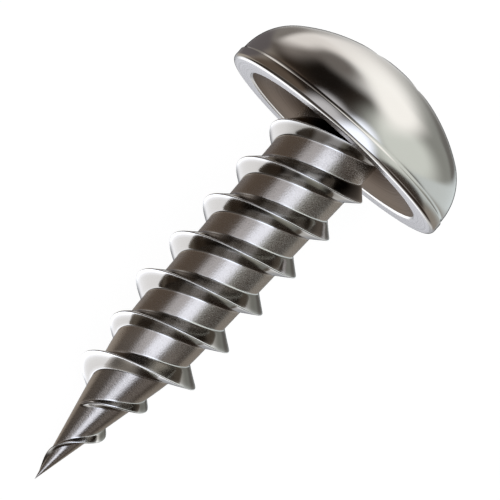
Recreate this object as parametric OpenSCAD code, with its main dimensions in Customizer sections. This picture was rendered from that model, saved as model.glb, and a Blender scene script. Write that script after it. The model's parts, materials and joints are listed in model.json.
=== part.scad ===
// Pan head self-tapping screw with a twin-start thread, lying as it comes to rest.
// The screw is drawn upright, with its axis on Z, the bearing face of the head at Z 0,
// the crown above it and the tip below it. A last move lays it on the floor, which is Z 0.

/* [Head] */
// Diameter of the head
head_d = 11.3; // [10.4:0.1:12.4]
// Height of the straight rim above the bearing face
rim_h = 0.65; // [0.5:0.05:1]
// Rounding between the rim and the bearing face
rim_round = 0.2; // [0.1:0.05:0.3]
// Width of the small ledge between the rim and the dome
ledge_w = 0.06; // [0.04:0.01:0.12]
// Height of the dome above the rim
dome_h = 3.65; // [3.2:0.05:4.2]
// Radius of the dome where it turns down to the rim
shoulder_r = 2.7; // [2:0.1:2.9]

/* [Hollow under the head] */
// Width of the flat ring that bears on the work
bearing_w = 1.1; // [0.8:0.05:1.5]
// Depth of the hollow at the shank
hollow_depth = 0.7; // [0.4:0.05:0.9]
// Chamfer at the inner edge of the ring
hollow_chamfer = 0.08; // [0.04:0.01:0.15]

/* [Cross recess] */
// Width across the wings at the crown
recess_d = 4.9; // [4.2:0.1:5.4]
// Thickness of one wing
wing_w = 1.15; // [0.9:0.05:1.4]
// Depth of the recess below the crown
recess_depth = 2.6; // [2.2:0.1:2.7]
// Diameter of the recess at its floor
recess_floor_d = 1.5; // [1.3:0.1:2.2]
// Diameter of the centre of the recess at the crown
recess_core_d = 2.5; // [2:0.1:2.9]
// Turn of the wings about the axis, in degrees
recess_turn = 65; // [0:5:85]

/* [Shank] */
// Length from the bearing face to the tip
length = 19; // [16:0.5:26]
// Core diameter at the bearing face
core_d = 4.06; // [3.8:0.02:4.3]
// Core diameter where the point begins
point_d = 3.36; // [3:0.02:3.7]
// Length of the point
point_len = 7.4; // [6:0.1:8.5]
// Depth of the smooth turn from the body into the point
point_blend = 0.25; // [0.1:0.05:0.4]

/* [Thread] */
// Diameter over the crests
thread_d = 5.1; // [4.7:0.05:5.5]
// Distance along the axis from one crest to the next
crest_gap = 2.14; // [1.8:0.02:2.6]
// Width of a crest
crest_w = 0.08; // [0.04:0.01:0.16]
// Reach along the axis of the flank that faces the tip
tip_flank = 0.44; // [0.3:0.02:0.6]
// Reach along the axis of the flank that faces the head
head_flank = 0.56; // [0.4:0.02:0.8]
// Share of each flank's reach taken by the fillet at its foot
foot_share = 0.08; // [0.05:0.01:0.2]
// Length over which the long start fades out, ending at the tip
long_fade = 8; // [7:0.1:9.5]
// Length over which the short start fades out
short_fade = 6; // [5:0.1:8]
// Distance from the tip at which the short start ends
short_stop = 3.6; // [2:0.1:4.5]
// Share of the full height at which the long start's low tail would begin
long_tail = 0.66; // [0.3:0.02:0.7]
// Share of the full height at which the short start's tail would begin
short_tail = 0.8; // [0.5:0.05:0.85]
// Share of their reach that the flanks keep where a ridge ends
slim_share = 0.25; // [0.2:0.05:0.6]

/* [Rest] */
// Turn of the screw about its own axis as it lies, in degrees, so that two crests carry it
rest_turn = 212; // [205:0.5:225]

/* [Hidden] */
$fn = 96;

head_r = head_d / 2;
dome_r = head_r - ledge_w;
crown_r = (dome_r ^ 2 + dome_h ^ 2 - 2 * dome_r * shoulder_r) / (2 * (dome_h - shoulder_r));
crown_z = rim_h + dome_h;
ring_r = head_r - bearing_w;

lead = 2 * crest_gap;
// Turn of the thread, in degrees, for each millimetre along the axis
per_mm = 360 / lead;
// How fast a start fades and how its low tail ends; a higher power gives a hollower run-out
fade_power = 3.5;
long_tail_power = 1.3;
short_tail_power = 0.72;
// Shank that is buried in the head above the hollow
buried = 0.25;
ring_step = 0.16;
core_facets = 9;

// How far the shoulder's centre stands from the axis
shoulder_x = dome_r - shoulder_r;

// Smaller of two lengths, with the corner between them rounded off
function soft_min(a, b, k) = min(a, b) - max(k - abs(a - b), 0) ^ 2 / (4 * k);

// Core radius at a distance s from the bearing face
function core(s) =
    let (body_end = length - point_len, slope = (core_d - point_d) / 2 / body_end)
    soft_min(core_d / 2 - slope * s, point_d / 2 * (length - s) / point_len, point_blend);

// Height of a start above the core: 1 is the long start, 2 the short one
function fade_end(start) = start == 1 ? length : length - short_stop;
function fade_len(start) = start == 1 ? long_fade : short_fade;
function tail(left, start) =
    start == 1 ? long_tail * left ^ long_tail_power : short_tail * left ^ short_tail_power;
function fade(s, start) =
    let (u = (s - fade_end(start) + fade_len(start)) / fade_len(start))
    u >= 1 ? 0 : u <= 0 ? 1 : max(cos(90 * u) ^ fade_power, tail(1 - u, start));
function thread_height(s, start) = (thread_d / 2 - core(s)) * fade(s, start);

// Height of a flank, from 1 at the crest to 0 at its foot, at a share w of its reach:
// straight at first, then a fillet
function flank(w) =
    w < 1 - 2 * foot_share
        ? 1 - w / (1 - foot_share)
        : (1 - w) ^ 2 / (4 * foot_share * (1 - foot_share));

// Columns of one start: half the crest's width in degrees, the flank's reach in degrees, and the
// height there. A positive angle lies on the side of the tip.
flank_shares = [0, 1 - 2 * foot_share, 1 - foot_share, 1];
crest_half = crest_w / 2 * per_mm;
head_side = [
    for (k = [3:-1:0]) [-crest_half, -flank_shares[k] * head_flank * per_mm, flank(flank_shares[k])]
];
tip_side = [for (w = flank_shares) [crest_half, w * tip_flank * per_mm, flank(w)]];
start_columns = concat(head_side, tip_side);
core_steps = [for (k = [1:core_facets - 1]) k / core_facets];

// How much of its full reach a flank has at a distance s: a lower ridge is also narrower
function slim(s, start) = slim_share + (1 - slim_share) * fade(s, start);
function foot_angle(s, start) = tip_side[3][0] + tip_side[3][1] * slim(s, start);
function next_foot(s, start) = 180 + head_side[0][0] + head_side[0][1] * slim(s, 3 - start);

// Columns of one start at a distance s: the angle from the long start's crest and the height
function ridge_columns(s, start) = [
    for (c = start_columns)
        [c[0] + c[1] * slim(s, start) + 180 * (start - 1), thread_height(s, start) * c[2]]
];
function root_columns(s, start) =
    let (from = foot_angle(s, start), to = next_foot(s, start))
    [for (k = core_steps) [from + (to - from) * k + 180 * (start - 1), 0]];
function columns(s) = concat(ridge_columns(s, 1), root_columns(s, 1), ridge_columns(s, 2), root_columns(s, 2));

// Angle of the long start's crest at a distance s from the bearing face, right-handed
function crest_angle(s) = rest_turn + (length - s) * per_mm;
function shank_point(s, column) =
    let (angle = crest_angle(s) + column[0], r = core(s) + column[1])
    [r * cos(angle), r * sin(angle), -s];

shank_top = -hollow_depth - buried;
ring_count = ceil((length - shank_top) / ring_step);
rings = [for (i = [0:ring_count - 1]) shank_top + (length - shank_top) * i / ring_count];

// Angle at which the screw lies when the rim and a point at s, radius r, both touch the floor
function touch_angle(s, r) =
    let (across = head_r - rim_round - r, along = s + rim_round)
    acos(-rim_round / norm([across, along])) - atan2(along, across);
// The crests of both starts where they cross the lowest line of the shank
function crossings(start) = [
    for (turn = [0:ceil(length / lead)])
        let (s = length + (rest_turn + 180 * (start - 1) - 180) / per_mm - turn * lead)
        if (s > 0 && s < length) [s, core(s) + thread_height(s, start)]
];
rest_touches = [for (c = concat(crossings(1), crossings(2), [[length, 0]])) touch_angle(c[0], c[1])];
rest_angle = min(rest_touches);
rest_height = (head_r - rim_round) * cos(rest_angle) - rim_round * sin(rest_angle) + rim_round;
tip_x = length * cos(rest_angle);
crown_x = (crown_z - crown_r) * cos(rest_angle) + crown_r;

// Half section of the dome: a flat arc over the crown that runs into a tight one at the shoulder
module dome_section() {
    tangent = [shoulder_x, crown_r - dome_h] * 2;
    intersection() {
        translate([0, crown_z - crown_r]) circle(crown_r);
        union() {
            intersection() {
                translate([shoulder_x, rim_h]) circle(shoulder_r);
                translate([0, rim_h]) square([head_d, dome_h]);
            }
            polygon([
                [0, rim_h],
                [shoulder_x, rim_h],
                [shoulder_x, rim_h] + tangent,
                [0, rim_h + tangent[1]],
            ]);
        }
    }
}

// Half section of the rim, rounded where it meets the bearing face, with a ledge at its top
module rim_section() {
    square([head_r - rim_round, rim_h]);
    translate([head_r - rim_round, rim_round]) circle(rim_round);
    translate([0, rim_round]) square([head_r, rim_h - rim_round - ledge_w]);
    polygon([[0, rim_h], [dome_r, rim_h], [head_r, rim_h - ledge_w], [0, rim_h - ledge_w]]);
}

// Half section of the hollow, which rises from the ring to the shank
module hollow_section() {
    polygon([
        [0, -1],
        [ring_r + hollow_chamfer, -1],
        [ring_r + hollow_chamfer, 0],
        [ring_r, hollow_chamfer],
        [core_d / 2, hollow_depth],
        [0, hollow_depth],
    ]);
}

module head_body() {
    rotate_extrude()
        difference() {
            union() {
                dome_section();
                rim_section();
            }
            hollow_section();
        }
}

// Cross recess for the driver: tapered wings round a tapered centre with a pointed floor
module cross_recess() {
    taper = (recess_d - recess_floor_d) / 2 / recess_depth;
    centre_taper = (recess_core_d - recess_floor_d) / 2 / recess_depth;
    above = 1;
    floor_z = crown_z - recess_depth;
    intersection() {
        translate([0, 0, floor_z])
            cylinder(
                h = recess_depth + above,
                r1 = recess_floor_d / 2,
                r2 = recess_d / 2 + taper * above
            );
        rotate(recess_turn)
            for (turn = [0, 90])
                rotate(turn)
                    translate([-recess_d, -wing_w / 2, floor_z])
                        cube([2 * recess_d, wing_w, recess_depth + above]);
    }
    translate([0, 0, floor_z])
        cylinder(
            h = recess_depth + above,
            r1 = recess_floor_d / 2,
            r2 = recess_core_d / 2 + centre_taper * above
        );
    translate([0, 0, floor_z - recess_floor_d / 4])
        cylinder(h = recess_floor_d / 4, r1 = 0, r2 = recess_floor_d / 2);
}

// Threaded shank and point: one ring of points at each step down the axis, turned with the
// thread so that every column of points runs along a crest, a flank or a root
module shank() {
    n = 2 * (len(start_columns) + len(core_steps));
    apex = ring_count * n;
    points = concat([for (s = rings) for (c = columns(s)) shank_point(s, c)], [[0, 0, -length]]);
    sides = [
        for (i = [0:ring_count - 2])
            for (k = [0:n - 1])
                let (a = i * n + k, b = i * n + (k + 1) % n)
                each [[a, b, b + n], [a, b + n, a + n]]
    ];
    point_faces = [for (k = [0:n - 1]) [apex - n + k, apex - n + (k + 1) % n, apex]];
    top = [[for (k = [n - 1:-1:0]) k]];
    polyhedron(points = points, faces = concat(top, sides, point_faces));
}

// The whole screw, laid on its rim and on the thread, with the origin under the middle of it
module screw() {
    color([0.62, 0.61, 0.59])
        translate([(crown_x - tip_x) / 2, 0, rest_height])
            rotate([0, rest_angle - 90, 0])
                difference() {
                    union() {
                        head_body();
                        shank();
                    }
                    cross_recess();
                }
}

screw();
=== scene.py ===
# %% [markdown]
# # A pan head screw with a twin-start thread
#
# This notebook dresses one small steel screw, about 5 mm by 19 mm, for a close studio picture.
# The screw is one piece of steel. It lies on a pale floor, on the rim of its head and on two
# crests of its thread, and the camera looks down on it from the side of the tip.
#
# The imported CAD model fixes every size. Here the same screw is drawn again with many more points,
# so that its dome mirrors smoothly and its crests and fillets are round, and then it gets its
# finishes: polished on the head, satin and grained on the shank.

# %% Load the fixed frame
import json
from math import cos, pi, radians, sin, tau

import bmesh
import bpy
import numpy as np
from mathutils import Matrix, Vector


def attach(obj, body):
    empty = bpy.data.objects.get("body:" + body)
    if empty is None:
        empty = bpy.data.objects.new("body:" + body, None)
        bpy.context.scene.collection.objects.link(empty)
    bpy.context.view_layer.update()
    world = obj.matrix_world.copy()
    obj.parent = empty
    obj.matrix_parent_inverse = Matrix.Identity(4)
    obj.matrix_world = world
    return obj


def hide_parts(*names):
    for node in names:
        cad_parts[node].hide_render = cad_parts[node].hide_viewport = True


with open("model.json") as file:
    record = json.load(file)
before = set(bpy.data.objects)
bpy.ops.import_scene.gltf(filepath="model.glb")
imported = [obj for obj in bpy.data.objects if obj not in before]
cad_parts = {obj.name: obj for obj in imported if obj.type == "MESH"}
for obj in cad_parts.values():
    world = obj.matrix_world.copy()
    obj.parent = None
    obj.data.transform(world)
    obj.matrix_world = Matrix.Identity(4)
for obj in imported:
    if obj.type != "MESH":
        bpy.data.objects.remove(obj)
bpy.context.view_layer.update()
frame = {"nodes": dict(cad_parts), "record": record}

MM = 0.001
mounts = {mount["name"]: mount for mount in frame["record"]["mounts"]}
print("CAD nodes:", ", ".join(frame["nodes"]))

# %% [markdown]
# ## The screw's own axes
#
# A turned part is easiest to draw upright, about its own axis, and to lay down afterwards.
# The record says where the axis lies: the thread's mount gives a point on it, midway down the
# shank, and the direction of the tip. From these comes one matrix. It takes a point drawn upright,
# with the bearing face of the head at Z 0 and the tip below, to its place on the floor.

# %% Lay the screw's axes
LENGTH = 19.0
HALF_LENGTH = LENGTH / 2

tip_way = Vector(mounts["thread"]["axis"]).normalized()
bearing_centre = Vector(mounts["thread"]["pos_m"]) - tip_way * HALF_LENGTH * MM
head_way = -tip_way
side_way = Vector((0, 1, 0))
upper_way = side_way.cross(head_way)
lay_down = Matrix.Translation(bearing_centre) @ Matrix(
    (upper_way, side_way, head_way)
).transposed().to_4x4() @ Matrix.Scale(MM, 4)
print("axis falls towards the tip by", round(tip_way.angle(Vector((1, 0, 0))) * 180 / pi, 2), "degrees")

# %% [markdown]
# ## The core of the shank
#
# A self-tapping screw is rolled from wire. The core between the ridges tapers a little from the
# head to the point, and then runs as a slim cone to a sharp tip. The two straight runs meet in
# a smooth turn, because the rolling dies are ground that way. A soft minimum of the two radii
# gives that turn with one line of arithmetic, which is easier to tune than a chain of arcs.

# %% Core radius down the shank
CORE_TOP_R = 2.03
POINT_TOP_R = 1.68
POINT_LENGTH = 7.4
POINT_BLEND = 0.25


def soft_min(a, b, rounding):
    """The smaller of two values, with the corner where they cross rounded off."""
    near = np.maximum(rounding - np.abs(a - b), 0)
    return np.minimum(a, b) - near ** 2 / (4 * rounding)


def core_radius(down):
    """Core radius in mm at a distance down from the bearing face."""
    taper = (CORE_TOP_R - POINT_TOP_R) / (LENGTH - POINT_LENGTH)
    body = CORE_TOP_R - taper * down
    point = POINT_TOP_R * (LENGTH - down) / POINT_LENGTH
    return soft_min(body, point, POINT_BLEND)


print("core radius at 0, 5, 10 and 15 mm:", core_radius(np.array([0, 5, 10, 15.0])).round(3))

# %% [markdown]
# ## The two starts of the thread
#
# Follow one crest across the front of the real screw: it drops by a whole gap between crests in
# half a turn. So there are two threads wound together, half a turn apart, and the lead is twice
# the gap. The long start runs down the point to the tip. The short one fades out on its flank.
# A power of a cosine lets a ridge sink towards the core, and a low tail carries it on, so that it
# still stands a third of a millimetre proud on the slim cone.

# %% Height of each ridge
CREST_R = 2.55
CREST_GAP = 2.14
LEAD = 2 * CREST_GAP
FADE_POWER = 3.5
STARTS = (
    {"name": "long", "fade_length": 8.0, "stop": 0.0, "turn": 0.0, "tail": (0.66, 1.3)},
    {"name": "short", "fade_length": 6.0, "stop": 3.6, "turn": pi, "tail": (0.8, 0.72)},
)


def fade(down, start):
    """Share of its full height that a start has left: 1 along the shank, 0 where it ends."""
    fade_from = LENGTH - start["stop"] - start["fade_length"]
    share = np.clip((down - fade_from) / start["fade_length"], 0, 1)
    sinking = np.cos(pi / 2 * share) ** FADE_POWER
    tail_share, tail_power = start["tail"]
    return np.maximum(sinking, tail_share * (1 - share) ** tail_power)


def ridge_height(down, start):
    """Height of a start's crest above the core, in mm."""
    return (CREST_R - core_radius(down)) * fade(down, start)


for start in STARTS:
    heights = ridge_height(np.array([5, 12, 15.0]), start).round(2)
    print(start["name"], "start stands", heights, "mm proud at 5, 12 and 15 mm")

# %% [markdown]
# ## The section of a ridge
#
# Cut through the thread along the axis, a ridge is a lean triangle: the flank towards the tip is
# the steeper one, the crest is a rounded edge under a tenth of a millimetre wide, and each foot
# meets the core in a tight fillet. Crest and fillets catch the light as the three thin bright lines
# that outline each ridge, so they are drawn in full and not left to shading. Where a ridge fades,
# its flanks keep their slope, so it grows narrower as it grows lower.

# %% Ridge section
CREST_WIDTH = 0.08
CREST_CROWN = 0.04
TIP_FLANK = 0.44
HEAD_FLANK = 0.56
FOOT_SHARE = 0.08
SLIM_SHARE = 0.25
CREST_POINTS = np.linspace(-CREST_WIDTH / 2, CREST_WIDTH / 2, 9)
FLANK_SHARES = np.array([0.03, 0.07, 0.11, 0.16, 0.28, 0.42, 0.56, 0.7, 0.84, 0.88, 0.92, 0.96, 1.0])
ROOT_POINTS = 20


def flank_height(share):
    """Height, 1 at the crest and 0 at the foot: straight, then a fillet."""
    straight = 1 - share / (1 - FOOT_SHARE)
    fillet = np.clip(1 - share, 0, None) ** 2 / (4 * FOOT_SHARE * (1 - FOOT_SHARE))
    return np.where(share < 1 - 2 * FOOT_SHARE, straight, fillet)


def reach(down, start, full):
    """Reach of a flank along the axis in mm."""
    return full * (SLIM_SHARE + (1 - SLIM_SHARE) * fade(down, start))


def ridge_section(down, start, next_start):
    """Offsets from the crest in mm, positive towards the tip, and the share of the height there."""
    tip_reach = reach(down, start, TIP_FLANK)[:, None]
    head_reach = reach(down, start, HEAD_FLANK)[:, None]
    ones = np.ones_like(tip_reach)
    head_side = -CREST_WIDTH / 2 - head_reach * FLANK_SHARES[::-1]
    tip_side = CREST_WIDTH / 2 + tip_reach * FLANK_SHARES
    next_foot = CREST_GAP - CREST_WIDTH / 2 - reach(down, next_start, HEAD_FLANK)[:, None]
    steps = np.linspace(0, 1, ROOT_POINTS + 2)[1:-1]
    root = tip_side[:, -1:] + (next_foot - tip_side[:, -1:]) * steps
    offset = np.concatenate([head_side, ones * CREST_POINTS, tip_side, root], axis=1)
    share = (np.abs(offset) - CREST_WIDTH / 2) / np.where(offset > 0, tip_reach, head_reach)
    crown = 1 - CREST_CROWN * np.minimum(np.abs(offset) / (CREST_WIDTH / 2), 1) ** 2
    return offset, crown * np.where(share < 1, flank_height(np.clip(share, 0, 1)), 0)


sample = ridge_section(np.array([5.0, 15.0]), STARTS[0], STARTS[1])
print(sample[0].shape[1], "points across one ridge and the root beside it")

# %% [markdown]
# ## The shank as a twisted grid
#
# The simplest way to sweep a thread is a screw modifier, but it can't fade a ridge or taper
# the core. So the surface is one grid. Each row is a section square to the axis, and each row is
# turned a little further than the last, so that every column of points follows a crest, a flank
# or a root all the way down. No ridge is ever cut at a slant by the mesh, and crests stay crisp.

# %% Shank mesh
REST_TURN = radians(212)
HOLLOW_DEPTH = 0.7
SHANK_TOP = -HOLLOW_DEPTH - 0.25
SHANK_ROWS = 470


def crest_angle(down):
    """Angle of the long start's crest at a distance down from the bearing face."""
    return REST_TURN + (LENGTH - down) * tau / LEAD


def shank_mesh():
    down = np.linspace(SHANK_TOP, LENGTH, SHANK_ROWS + 1)[:-1]
    rows = []
    for start, next_start in (STARTS, STARTS[::-1]):
        offset, height = ridge_section(down, start, next_start)
        angle = crest_angle(down)[:, None] + offset * tau / LEAD + start["turn"]
        radius = core_radius(down)[:, None] + ridge_height(down, start)[:, None] * height
        depth = -down[:, None] * np.ones_like(radius)
        rows.append(np.stack([radius * np.cos(angle), radius * np.sin(angle), depth], axis=2))
    points = np.concatenate(rows, axis=1)
    count = points.shape[1]
    vertices = points.reshape(-1, 3).tolist() + [(0, 0, -LENGTH)]
    faces = [tuple(range(count))]
    for row in range(SHANK_ROWS - 1):
        for column in range(count):
            here = row * count + column
            beside = row * count + (column + 1) % count
            faces.append((here, here + count, beside + count, beside))
    last = (SHANK_ROWS - 1) * count
    tip = len(vertices) - 1
    faces += [(last + k, tip, last + (k + 1) % count) for k in range(count)]
    return vertices, faces


def make_object(name, vertices, faces):
    mesh = bpy.data.meshes.new(name)
    mesh.from_pydata(vertices, [], faces)
    mesh.validate()
    piece = bpy.data.objects.new(name, mesh)
    bpy.context.scene.collection.objects.link(piece)
    return piece


shank = make_object("shank_form", *shank_mesh())
print("shank:", len(shank.data.polygons), "faces")

# %% [markdown]
# ## The head as one section, spun
#
# The head is upset in a die, so it is a body of revolution. Its section has a flat arc over the
# crown that runs into a tighter one at the shoulder, a small ledge, a straight rim with a rounded
# lower edge, the narrow ring that bears on the work, and a shallow hollow that rises to the shank.
# Arcs are sampled finely because a polished dome shows every flat in its reflections.

# %% Head section
HEAD_R = 5.65
RIM_H = 0.65
RIM_ROUND = 0.2
LEDGE = 0.06
DOME_H = 3.65
SHOULDER_R = 2.7
BEARING_W = 1.1
HOLLOW_CHAMFER = 0.08
HEAD_SPOKES = 256

dome_r = HEAD_R - LEDGE
crown_r = (dome_r ** 2 + DOME_H ** 2 - 2 * dome_r * SHOULDER_R) / (2 * (DOME_H - SHOULDER_R))
crown_z = RIM_H + DOME_H
ring_r = HEAD_R - BEARING_W


def arc(centre, radius, start_angle, end_angle, steps):
    """Points of an arc in the half section; angle 0 points outwards, a right angle to the crown."""
    angles = np.linspace(start_angle, end_angle, steps)
    return [(centre[0] + radius * cos(a), centre[1] + radius * sin(a)) for a in angles]


def head_section():
    shoulder = (dome_r - SHOULDER_R, RIM_H)
    crown = (0, crown_z - crown_r)
    meet = np.arctan2(shoulder[1] - crown[1], shoulder[0])
    points = arc(crown, crown_r, pi / 2 - 0.01, meet, 36)
    points += arc(shoulder, SHOULDER_R, meet, 0, 36)[1:]
    points += arc((HEAD_R - LEDGE, RIM_H - 2 * LEDGE), LEDGE, pi / 3, 0, 5)
    points += arc((HEAD_R - RIM_ROUND, RIM_ROUND), RIM_ROUND, 0, -pi / 2, 12)
    points += [(ring_r + HOLLOW_CHAMFER, 0), (ring_r, HOLLOW_CHAMFER)]
    points += [
        (ring_r + (CORE_TOP_R - ring_r) * share, HOLLOW_CHAMFER + (HOLLOW_DEPTH - HOLLOW_CHAMFER) * share)
        for share in (0.25, 0.5, 0.75, 1.0)
    ]
    return points


def spin(section, spokes, top_z, bottom_z):
    """A closed body of revolution from a section that runs from the top of the axis to its foot."""
    count = len(section)
    vertices = [
        (radius * cos(tau * k / spokes), radius * sin(tau * k / spokes), height)
        for k in range(spokes)
        for radius, height in section
    ]
    faces = []
    for k in range(spokes):
        here = k * count
        beside = (k + 1) % spokes * count
        faces += [(here + i, here + i + 1, beside + i + 1, beside + i) for i in range(count - 1)]
    vertices += [(0, 0, top_z), (0, 0, bottom_z)]
    top, bottom = len(vertices) - 2, len(vertices) - 1
    for k in range(spokes):
        here = k * count
        beside = (k + 1) % spokes * count
        faces += [(top, here, beside), (here + count - 1, bottom, beside + count - 1)]
    return vertices, faces


head = make_object("head_form", *spin(head_section(), HEAD_SPOKES, crown_z, HOLLOW_DEPTH))
print("head:", len(head.data.polygons), "faces, crown radius", round(crown_r, 2), "mm")

# %% [markdown]
# ## The cross recess
#
# The driver's recess is punched as the head is upset. Its four wings are slices of a cone, so they
# narrow towards the floor, and a smaller cone clears the centre. The same two cones and a cross of
# bars are cut here with exact booleans, which is how the CAD part makes it too.

# %% Cutter for the recess
RECESS_R = 2.45
WING_W = 1.15
RECESS_DEPTH = 2.6
RECESS_FLOOR_R = 0.75
RECESS_CORE_R = 1.25
ABOVE = 1.0
CUTTER_SPOKES = 64
RECESS_TURN = radians(65)

floor_z = crown_z - RECESS_DEPTH


def cone(name, foot_r, crown_level_r):
    """A cone on the axis from the recess's floor to a little above the crown, with a pointed foot."""
    widen = (crown_level_r - foot_r) / RECESS_DEPTH * ABOVE
    section = [(crown_level_r + widen, crown_z + ABOVE), (foot_r, floor_z)]
    return make_object(name, *spin(section, CUTTER_SPOKES, crown_z + ABOVE, floor_z - RECESS_FLOOR_R / 2))


def bar(name, turn):
    half = Vector((2 * RECESS_R, WING_W / 2, (RECESS_DEPTH + ABOVE) / 2 + 0.5))
    middle = Vector((0, 0, floor_z + half.z - 0.5))
    spun = Matrix.Rotation(turn, 3, "Z")
    signs = [(x, y, z) for x in (-1, 1) for y in (-1, 1) for z in (-1, 1)]
    corners = [spun @ (middle + Vector((x * half.x, y * half.y, z * half.z))) for x, y, z in signs]
    sides = [(0, 1, 3, 2), (4, 6, 7, 5), (0, 4, 5, 1), (2, 3, 7, 6), (0, 2, 6, 4), (1, 5, 7, 3)]
    return make_object(name, [tuple(corner) for corner in corners], sides)


def cut_or_join(body, other, operation):
    """Applies one exact boolean to body and deletes the other object."""
    step = body.modifiers.new(operation, "BOOLEAN")
    step.operation = operation
    step.solver = "EXACT"
    step.object = other
    mesh = bpy.data.meshes.new_from_object(body.evaluated_get(bpy.context.evaluated_depsgraph_get()))
    body.modifiers.clear()
    body.data = mesh
    bpy.data.objects.remove(other)


bars = bar("bar_a", RECESS_TURN)
cut_or_join(bars, bar("bar_b", RECESS_TURN + pi / 2), "UNION")
cutter = cone("wing_cone", RECESS_FLOOR_R, RECESS_R)
cut_or_join(cutter, bars, "INTERSECT")
cut_or_join(cutter, cone("centre_cone", RECESS_FLOOR_R * 0.99, RECESS_CORE_R), "UNION")
print("cutter:", len(cutter.data.polygons), "faces")

# %% Join the screw
cut_or_join(head, cutter, "DIFFERENCE")
cut_or_join(head, shank, "UNION")
screw = head
screw.name = "pan_head_screw"
screw.data.name = "pan_head_screw"
triangles = sum(len(face.vertices) - 2 for face in screw.data.polygons)
print("screw:", len(screw.data.vertices), "points,", triangles, "triangles")


def open_edges(mesh):
    """Edges that don't have exactly two faces; a closed solid has none."""
    check = bmesh.new()
    check.from_mesh(mesh)
    found = sum(not edge.is_manifold for edge in check.edges)
    check.free()
    return found


print("open edges:", open_edges(screw.data))

# %% [markdown]
# ## Which surface is which
#
# The screw has five finishes. The dome and the rim are polished, the ring under the head is
# finely turned, the hollow inside it is dull, with painted shade that darkens its colour towards
# the shank, and the core of the shank is satin, with a sandy grain. The ridges themselves are
# smooth, because the rolling dies burnish the metal as it flows up into them. The joined mesh is
# one piece, so each face is sorted by where it lies on the screw.

# %% Sort the faces
POLISHED, TURNED, SATIN, DULL_AND_SHADED, BURNISHED = range(5)


def polar(points):
    """Radius, angle and height of points drawn upright."""
    points = np.array(points)
    return np.hypot(points[:, 0], points[:, 1]), np.arctan2(points[:, 1], points[:, 0]), points[:, 2]


def crest_offset(angle, down, start):
    """Distance in mm along the axis from the nearest crest of a start, positive towards the tip."""
    turned = angle - crest_angle(down) - start["turn"]
    return ((turned + pi) % tau - pi) * LEAD / tau


def foot_distance(angle, down, start):
    """How far in mm a point lies outside the foot of a start's ridge; negative on the ridge."""
    offset = crest_offset(angle, down, start)
    full = np.where(offset > 0, TIP_FLANK, HEAD_FLANK)
    return np.abs(offset) - CREST_WIDTH / 2 - reach(down, start, full)


def finish_of_faces(mesh):
    radius, angle, height = polar([tuple(face.center) for face in mesh.polygons])
    roof = np.interp(radius, [CORE_TOP_R, ring_r], [HOLLOW_DEPTH, HOLLOW_CHAMFER])
    under_head = (height > -0.001) & (height < roof + 0.02)
    on_shank = (height < -0.001) | ((radius < CREST_R + 0.01) & (height < roof - 0.02))
    finish = np.full(len(radius), POLISHED)
    finish[under_head & (radius < HEAD_R - RIM_ROUND + 0.02)] = TURNED
    finish[under_head & (radius < ring_r + HOLLOW_CHAMFER - 0.001)] = POLISHED
    # The hollow gets dull steel with painted shade: its colour darkens towards the shank.
    finish[under_head & (radius < ring_r - 0.001)] = DULL_AND_SHADED
    finish[on_shank] = SATIN
    for start in STARTS:
        on_ridge = (foot_distance(angle, -height, start) < 0) & (ridge_height(-height, start) > 0.004)
        finish[on_shank & on_ridge] = BURNISHED
    return finish


mesh = screw.data
finish = finish_of_faces(mesh)
mesh.polygons.foreach_set("material_index", finish.astype(np.int32))
print("faces polished, turned, satin, dull, burnished:", np.bincount(finish).tolist())

# %% [markdown]
# ## Worn edges and painted highlight lines
#
# Screws are tumbled in a drum, and their edges rub on each other. The crests come out brighter,
# and the pale colour along them is partly that wear and partly a painted highlight; the pale lines
# where a ridge meets the core are painted highlights. This mark is stored on the points as a
# number from 0 to 1, and the materials of the shank read it. Real wear is never even, but this
# mark follows the form closely, so it is measured from the crest and from the foot of each ridge.

# %% Mark the worn edges and painted highlight lines
CREST_WEAR_AND_HIGHLIGHT = 0.08
FOOT_HIGHLIGHT = 0.035
FOOT_HIGHLIGHT_SHARE = 0.75


def wear_and_painted_highlight(mesh):
    radius, angle, height = polar([tuple(vertex.co) for vertex in mesh.vertices])
    down = -height
    wear_and_highlight = np.zeros(len(radius))
    for start in STARTS:
        proud = np.clip(ridge_height(down, start) / 0.12, 0, 1)
        # The crest mark is partly wear and partly painted highlight; the foot mark is painted highlight.
        crest = np.exp(-(crest_offset(angle, down, start) / CREST_WEAR_AND_HIGHLIGHT) ** 2)
        foot = FOOT_HIGHLIGHT_SHARE * np.exp(-(foot_distance(angle, down, start) / FOOT_HIGHLIGHT) ** 2)
        wear_and_highlight = np.maximum(wear_and_highlight, proud * np.maximum(crest, foot))
    wear_and_highlight[(height > HOLLOW_DEPTH) | (radius > CREST_R + 0.05)] = 0
    return wear_and_highlight


wear_and_highlight = wear_and_painted_highlight(mesh)
wear_and_highlight_layer = mesh.attributes.new("wear_and_painted_highlight", "FLOAT", "POINT")
wear_and_highlight_layer.data.foreach_set("value", wear_and_highlight.astype(np.float32))
print("points with wear over a half:", int((wear_and_highlight > 0.5).sum()))

# %% Lay the screw down and smooth it
SHARP_ANGLE = radians(32)

mesh.transform(lay_down)
mesh.polygons.foreach_set("use_smooth", [True] * len(mesh.polygons))
mesh.set_sharp_from_angle(angle=SHARP_ANGLE)
mesh.update()
lowest = min(vertex.co.z for vertex in mesh.vertices)
print("lowest point above the floor in mm:", round(lowest / MM, 4))

# %% [markdown]
# ## Colours and nodes
#
# Colours are picked as sRGB hex values, as a paint program shows them. Shaders work in linear
# light, so one function converts them. Another small function adds a node, sets its values and
# links its inputs, so that each material below reads as a short list.

# %% Helpers for materials
def linear(hex_colour, strength=1.0):
    """Linear RGBA from an sRGB hex value."""
    channels = [int(hex_colour[i:i + 2], 16) / 255 for i in (1, 3, 5)]
    light = [c / 12.92 if c <= 0.04045 else ((c + 0.055) / 1.055) ** 2.4 for c in channels]
    return (*[c * strength for c in light], 1.0)


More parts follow.
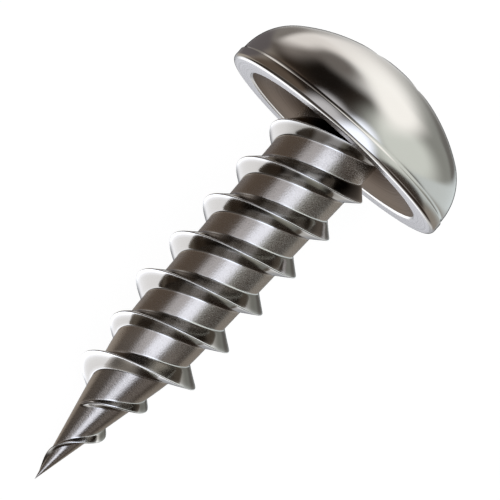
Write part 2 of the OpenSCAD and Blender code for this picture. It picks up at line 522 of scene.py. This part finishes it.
def add_node(tree, kind, inputs=None, **settings):
    """Adds a node; inputs maps a socket's name or number to a value or to a socket to link."""
    node = tree.nodes.new(kind)
    for name, value in settings.items():
        setattr(node, name, value)
    for name, value in (inputs or {}).items():
        if isinstance(value, bpy.types.NodeSocket):
            tree.links.new(value, node.inputs[name])
        else:
            node.inputs[name].default_value = value
    return node


def new_material(name):
    material = bpy.data.materials.new(name)
    material.use_nodes = True
    material.node_tree.nodes.clear()
    return material, material.node_tree


print("linear value of mid grey:", round(linear("#808080")[0], 3))

# %% [markdown]
# ## Polished nickel plate
#
# The dome was polished before it was plated with bright nickel. Nickel is a slightly warm grey
# metal, and the plate mirrors the studio with only a little blur. Under a lens it is never
# perfect: it has very fine swirl marks from the polishing mop and soft cloudy patches. The marks
# change only the roughness and tilt the surface by a fraction of a degree.

# %% Polished nickel plate
SWIRL_MM = 0.5
CLOUD_MM = 2.2


def object_position(tree):
    return add_node(tree, "ShaderNodeTexCoord").outputs["Object"]


def noise(tree, size_mm, detail=2.0, vector=None):
    """Soft noise whose patches measure about size_mm across."""
    place = vector or object_position(tree)
    settings = {"Vector": place, "Scale": 1 / (size_mm * MM), "Detail": detail, "Roughness": 0.55}
    return add_node(tree, "ShaderNodeTexNoise", settings).outputs["Fac"]


def spread(tree, value, low, high):
    """Maps noise, which stays near 0.5, to a range of values."""
    settings = {"Value": value, "From Min": 0.3, "From Max": 0.7, "To Min": low, "To Max": high}
    return add_node(tree, "ShaderNodeMapRange", settings).outputs["Result"]


def polished_nickel():
    material, tree = new_material("polished_nickel_plate")
    roughness = spread(tree, noise(tree, CLOUD_MM, 3.0), 0.1, 0.15)
    swirl = noise(tree, SWIRL_MM, 4.0)
    bump = add_node(tree, "ShaderNodeBump", {"Height": swirl, "Strength": 0.02, "Distance": 0.02 * MM})
    metal = add_node(tree, "ShaderNodeBsdfPrincipled", {
        "Base Color": linear("#d2cfca"),
        "Metallic": 1.0,
        "Roughness": roughness,
        "Normal": bump.outputs["Normal"],
    })
    add_node(tree, "ShaderNodeOutputMaterial", {"Surface": metal.outputs["BSDF"]})
    return material


polished = polished_nickel()
print("made", polished.name)

# %% [markdown]
# ## Turned ring under the head
#
# The ring that bears on the work and the hollow inside it keep the marks of the heading die:
# fine rings round the axis. Rings are drawn from the distance to the axis, which takes one
# mapping that turns the object's position back into the screw's upright axes. They are drawn
# about 0.1 mm apart, coarser than the real ones, so that they show.

# %% Turned steel
RING_SPACING = 0.1

upright = lay_down.inverted()


def upright_position(tree):
    """The position in mm in the screw's own upright axes."""
    rows = [upright[i][:3] for i in range(3)]
    place = object_position(tree)
    values = []
    for i, row in enumerate(rows):
        dot = add_node(tree, "ShaderNodeVectorMath", {0: place, 1: row}, operation="DOT_PRODUCT")
        moved = add_node(tree, "ShaderNodeMath", {0: dot.outputs["Value"], 1: upright[i][3]}, operation="ADD")
        values.append(moved.outputs["Value"])
    joined = add_node(tree, "ShaderNodeCombineXYZ", dict(enumerate(values)))
    return joined.outputs["Vector"]


def turned_steel(name, inner_colour, colour, edge_tint, low_roughness, high_roughness):
    """Steel with fine rings; its colour runs from inner_colour near the shank's foot to colour
    0.8 mm inside the ring. In the hollow this ramp is painted shade, darkest by the shank.
    """
    material, tree = new_material(name)
    place = upright_position(tree)
    flat = add_node(tree, "ShaderNodeVectorMath", {0: place, 1: (1, 1, 0)}, operation="MULTIPLY")
    radius = add_node(tree, "ShaderNodeVectorMath", {0: flat.outputs["Vector"]}, operation="LENGTH")
    rings = add_node(tree, "ShaderNodeTexNoise", {
        "W": radius.outputs["Value"], "Scale": 1 / RING_SPACING, "Detail": 3.0,
    }, noise_dimensions="1D").outputs["Fac"]
    bump = add_node(tree, "ShaderNodeBump", {"Height": rings, "Strength": 0.12, "Distance": 0.01 * MM})
    # In the hollow this ramp from inner_colour to colour is painted shade, darkest by the shank.
    outward = add_node(tree, "ShaderNodeMapRange", {
        "Value": radius.outputs["Value"], "From Min": CORE_TOP_R + 0.35, "From Max": ring_r - 0.8,
    }).outputs["Result"]
    base = add_node(tree, "ShaderNodeMix", {
        "Factor": outward, "A": linear(inner_colour), "B": linear(colour),
    }, data_type="RGBA").outputs["Result"]
    metal = add_node(tree, "ShaderNodeBsdfPrincipled", {
        "Base Color": base,
        "Metallic": 1.0,
        "Specular Tint": linear(edge_tint),
        "Roughness": spread(tree, rings, low_roughness, high_roughness),
        "Normal": bump.outputs["Normal"],
    })
    add_node(tree, "ShaderNodeOutputMaterial", {"Surface": metal.outputs["BSDF"]})
    return material


turned = turned_steel("turned_nickel_plated_steel", "#c2bfbe", "#c2bfbe", "#ffffff", 0.24, 0.32)
# The hollow's dark colour, darkest by the shank, is painted shade; its higher roughness is its real dull finish.
dull_and_shaded = turned_steel("dull_steel_with_painted_shade_in_the_hollow", "#14100e", "#655d55", "#c6beb8", 0.34, 0.42)
print("made", turned.name, "and", dull_and_shaded.name)

# %% [markdown]
# ## Satin core and burnished ridges
#
# The core of the shank was blasted with fine grit before plating, so its highlights are broad and
# sandy. Grit leaves pits of about a hundredth of a millimetre. At this scale they would vanish, so
# the grain is drawn at 0.07 mm, about a pixel and a half of the picture. The ridges are the same
# metal without the grit: much smoother, so they mirror each other and the studio in crisp shapes.
# On both, a worn edge gets a pale colour and a roughness of 0.2: along the crests this is partly
# wear and partly painted highlight, and along the feet of the ridges it is painted highlight.

# %% Steel of the shank
GRAIN_MM = 0.07
PATCH_MM = 1.4


def shank_steel(name, colour, worn_and_highlight_colour, low_roughness, high_roughness, grain_strength):
    material, tree = new_material(name)
    grain = noise(tree, GRAIN_MM, 2.0)
    patch = noise(tree, PATCH_MM, 3.0)
    wear_and_highlight = add_node(tree, "ShaderNodeAttribute", attribute_name="wear_and_painted_highlight").outputs["Fac"]
    rough = add_node(tree, "ShaderNodeMath", {
        0: spread(tree, grain, -0.1 * grain_strength, 0.1 * grain_strength),
        1: spread(tree, patch, low_roughness, high_roughness),
    }, operation="ADD").outputs["Value"]
    roughness = add_node(tree, "ShaderNodeMix", {"Factor": wear_and_highlight, "A": rough, "B": 0.2}).outputs["Result"]
    # Where the mark is high the colour turns pale: wear and painted highlight on crests, painted highlight at the
    # feet.
    base = add_node(tree, "ShaderNodeMix", {
        "Factor": wear_and_highlight, "A": linear(colour), "B": linear(worn_and_highlight_colour),
    }, data_type="RGBA").outputs["Result"]
    bump = add_node(tree, "ShaderNodeBump", {
        "Height": grain, "Strength": grain_strength, "Distance": 0.012 * MM,
    })
    metal = add_node(tree, "ShaderNodeBsdfPrincipled", {
        "Base Color": base,
        "Metallic": 1.0,
        "Roughness": roughness,
        "Normal": bump.outputs["Normal"],
    })
    add_node(tree, "ShaderNodeOutputMaterial", {"Surface": metal.outputs["BSDF"]})
    return material


# The second colour of each is the pale colour of worn crests and painted highlight lines.
satin = shank_steel("blasted_nickel_plated_steel", "#c4beb8", "#f4f3f1", 0.23, 0.28, 0.38)
burnished = shank_steel("burnished_nickel_plated_steel", "#a7a39d", "#ffffff", 0.1, 0.15, 0.04)
for material in (polished, turned, satin, dull_and_shaded, burnished):
    screw.data.materials.append(material)
print("made", satin.name, "and", burnished.name)

# %% [markdown]
# ## Put the piece in the frame
#
# The finished screw stands for the CAD solid and rides on its only body. The solid stays in the
# simulation for contact.

# %% Frame calls
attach(screw, "root")
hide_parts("screw")
print("piece", screw.name, "rides on root")

# %% [markdown]
# ## Camera
#
# The picture looks at the screw from a little on the tip's side of square, so that the ring under
# the head shows as a thin ellipse. It barely has any perspective, so the camera stands well back
# with a long lens. The aim and the distance are set from two measures in the picture: where the
# middle of the head's rim falls, and how many pixels a millimetre of the screw takes.

# %% Camera
ELEVATION = radians(59.5)
AZIMUTH = radians(43.4)
IMAGE_ANGLE = radians(48.2)
DISTANCE = 360.0
FRAME_PIXELS = 500
PIXELS_PER_MM = 23.6
AIM_DOWN = 5.64
AIM_ACROSS = 0.34
SENSOR = 36.0

toward = Vector((cos(ELEVATION) * cos(AZIMUTH), cos(ELEVATION) * sin(AZIMUTH), sin(ELEVATION)))
right = Vector((0, 0, 1)).cross(toward).normalized()
up = toward.cross(right)
across = right * sin(IMAGE_ANGLE) - up * cos(IMAGE_ANGLE)
aim = bearing_centre + tip_way * AIM_DOWN * MM + across * AIM_ACROSS * MM

camera_data = bpy.data.cameras.new("long_lens")
camera_data.sensor_width = SENSOR
camera_data.lens = SENSOR * DISTANCE * PIXELS_PER_MM / FRAME_PIXELS
camera_data.clip_start = 0.01
camera_data.clip_end = 10
camera = bpy.data.objects.new("long_lens", camera_data)
camera.matrix_world = Matrix.Translation(aim + toward * DISTANCE * MM) @ Matrix(
    (right, up, toward)
).transposed().to_4x4()
bpy.context.scene.collection.objects.link(camera)
bpy.context.scene.camera = camera
print("lens", round(camera_data.lens), "mm; image angle of the axis:", round(
    np.degrees(np.arctan2(head_way.dot(up), head_way.dot(right))), 2))

# %% [markdown]
# ## Studio
#
# Metal shows what stands round it, so its look is made by the studio and not by its colour. The
# picture's dome tells what was there: a big cream light beyond the head, a black flag above it,
# a cooler pale wall to the right, and a dim warm room to the left. The world shader paints them
# as soft patches by direction. The patches are placed by the screw's own axes: across it, towards
# the camera, and towards the head.

# %% World
front_way = across.cross(head_way).normalized()
if front_way.dot(toward) < 0:
    front_way = -front_way
square_across = head_way.cross(front_way).normalized()
if square_across.dot(across) < 0:
    square_across = -square_across


def studio_way(across_part, front_part, head_part):
    """A direction in the room from parts across the screw, towards the camera and to the head."""
    return (square_across * across_part + front_way * front_part + head_way * head_part).normalized()


def card(tree, under, way, half_sizes, softness, colour):
    """Lays a soft oval of colour over the colour under it, at a direction in the room.

    The half sizes are angles in degrees, round the screw and along it.
    """
    facing = studio_way(*way)
    along = (head_way - facing * head_way.dot(facing)).normalized()
    turn = Matrix((along.cross(facing), along, facing)).transposed().to_euler()
    size = (sin(radians(half_sizes[0])), sin(radians(half_sizes[1])), 1)
    place = add_node(tree, "ShaderNodeTexCoord").outputs["Generated"]
    settings = {"Vector": place, "Rotation": turn, "Scale": size}
    local = add_node(tree, "ShaderNodeMapping", settings, vector_type="TEXTURE").outputs["Vector"]
    flat = add_node(tree, "ShaderNodeVectorMath", {0: local, 1: (1, 1, 0)}, operation="MULTIPLY").outputs["Vector"]
    far = add_node(tree, "ShaderNodeVectorMath", {0: flat}, operation="LENGTH").outputs["Value"]
    inside = add_node(tree, "ShaderNodeMapRange", {
        "Value": far, "From Min": 1 + softness / 2, "From Max": 1 - softness / 2,
    }, interpolation_type="SMOOTHSTEP").outputs["Result"]
    depth = add_node(tree, "ShaderNodeSeparateXYZ", {0: local}).outputs["Z"]
    ahead = add_node(tree, "ShaderNodeMath", {0: depth, 1: 0.0}, operation="GREATER_THAN").outputs["Value"]
    share = add_node(tree, "ShaderNodeMath", {0: inside, 1: ahead}, operation="MULTIPLY").outputs["Value"]
    mixed = add_node(tree, "ShaderNodeMix", {"Factor": share, "A": under, "B": colour}, data_type="RGBA")
    return mixed.outputs["Result"]


CARDS = (
    ("dark room by the camera", (0.0, 0.99, 0.05), (62, 62), 0.3, linear("#3a312a")),
    ("dark room, left", (-0.97, 0.0, 0.0), (60, 62), 0.3, linear("#3a312a")),
    ("dark room, right", (0.97, 0.0, 0.0), (60, 62), 0.3, linear("#3a312a")),
    ("dark room past the tip", (-0.60, 0.40, -0.69), (38, 33), 0.8, linear("#48433f")),
    ("brown table behind", (0.0, -0.99, 0.06), (62, 12), 0.5, linear("#7a736c")),
    ("brown wall, left", (-0.743, -0.669, 0.02), (38, 15), 0.9, linear("#b3aba2")),
    ("brown wall, right", (0.743, -0.669, 0.02), (30, 13), 0.9, linear("#9c958d")),
    ("pale floor under the screw", (0.0, -0.99, -0.12), (20, 22), 0.7, linear("#b9bbc0")),
    ("white floor past the tip", (-0.140, -0.660, -0.74), (28, 34), 0.4, linear("#eef1f8", 2.0)),
    ("grey wall, left", (-0.747, -0.243, 0.62), (26, 18), 0.9, linear("#8f8884")),
    ("pale wall behind the head", (-0.38, -0.61, 0.70), (31, 21), 0.6, linear("#f1edeb", 1.15)),
    ("grey wall low, left", (-0.46, -0.80, 0.40), (20, 11), 0.8, linear("#8a8581")),
    ("grey wall, right", (0.60, -0.45, 0.66), (44, 27), 0.7, linear("#9c9e9a")),
    ("grey wall low, right", (0.27, -0.87, 0.42), (13, 11), 0.8, linear("#73716e")),
    ("pale wall, right", (0.72, 0.45, 0.54), (42, 32), 0.8, linear("#f0f6f2")),
    ("black flag", (-0.62, 0.54, 0.60), (28, 26), 1.3, linear("#1a1613")),
    ("grey haze past the crown", (-0.45, 0.02, 0.89), (19, 14), 1.2, linear("#7a7572")),
    ("cream light past the crown", (0.17, -0.06, 0.98), (42, 17), 0.9, linear("#fbfbfa", 1.45)),
    ("pale strip low at the right", (0.78, -0.57, 0.32), (52, 8), 0.6, linear("#e0e8ea")),
    ("brown strip low at the left", (-0.60, -0.77, 0.22), (26, 8), 0.6, linear("#6b6668")),
    ("dark line behind", (0.0, -0.99, 0.13), (13, 11), 0.5, linear("#1e1b1a")),
    ("dark table edge, left", (-0.95, 0.1, 0.05), (45, 9), 0.4, linear("#675b51")),
    ("dark table edge, right", (0.963, 0.258, 0.05), (36, 9), 0.3, linear("#3e362f")),
    ("grey table past the tip, left", (-0.92, 0.35, -0.16), (30, 7), 0.6, linear("#77716c")),
    ("grey table past the tip, right", (0.90, 0.40, -0.16), (30, 8), 0.7, linear("#928c88")),
    ("dim side of the window", (-0.40, 0.91, -0.04), (23, 18), 0.7, linear("#dcdce2")),
    ("cool window by the camera", (0.205, 0.970, -0.11), (21.5, 24), 0.6, linear("#e0e7f6", 2.05)),
)


def build_world():
    world = bpy.data.worlds.new("studio")
    bpy.context.scene.world = world
    world.use_nodes = True
    tree = world.node_tree
    tree.nodes.clear()
    colour = linear("#ffffff")
    for _, way, half_sizes, softness, card_colour in CARDS:
        colour = card(tree, colour, way, half_sizes, softness, card_colour)
    room = add_node(tree, "ShaderNodeBackground", {"Color": colour, "Strength": 1.0})
    white = add_node(tree, "ShaderNodeBackground", {"Color": (1, 1, 1, 1), "Strength": 1.0})
    path = add_node(tree, "ShaderNodeLightPath")
    mixed = add_node(tree, "ShaderNodeMixShader", {
        0: path.outputs["Is Camera Ray"], 1: room.outputs[0], 2: white.outputs[0],
    })
    add_node(tree, "ShaderNodeOutputWorld", {"Surface": mixed.outputs[0]})


build_world()
print("studio cards:", len(CARDS))

# %% [markdown]
# ## Floor
#
# A sheet of white card. The picture's ground is pure white, so for the camera the card is mostly
# its own plain white, with a little of the light that really falls on it. That little is enough
# to keep a faint shadow under the screw.

# %% Floor
FLOOR_HALF = 0.6
OWN_WHITE = 0.85


def build_floor():
    corners = [(-FLOOR_HALF, -FLOOR_HALF, 0), (FLOOR_HALF, -FLOOR_HALF, 0)]
    corners += [(FLOOR_HALF, FLOOR_HALF, 0), (-FLOOR_HALF, FLOOR_HALF, 0)]
    floor = make_object("floor_card", corners, [(0, 1, 2, 3)])
    material, tree = new_material("white_card")
    card = add_node(tree, "ShaderNodeBsdfDiffuse", {"Color": linear("#f4f4f2")})
    white = add_node(tree, "ShaderNodeEmission", {"Color": (1, 1, 1, 1), "Strength": 1.13})
    path = add_node(tree, "ShaderNodeLightPath")
    share = add_node(tree, "ShaderNodeMath", {0: path.outputs["Is Camera Ray"], 1: OWN_WHITE}, operation="MULTIPLY")
    mixed = add_node(tree, "ShaderNodeMixShader", {
        0: share.outputs["Value"], 1: card.outputs[0], 2: white.outputs[0],
    })
    add_node(tree, "ShaderNodeOutputMaterial", {"Surface": mixed.outputs[0]})
    floor.data.materials.append(material)
    floor.visible_glossy = False
    return floor


build_floor()
scene = bpy.context.scene
scene.view_settings.view_transform = "Standard"
print("floor reaches", FLOOR_HALF, "m each way")
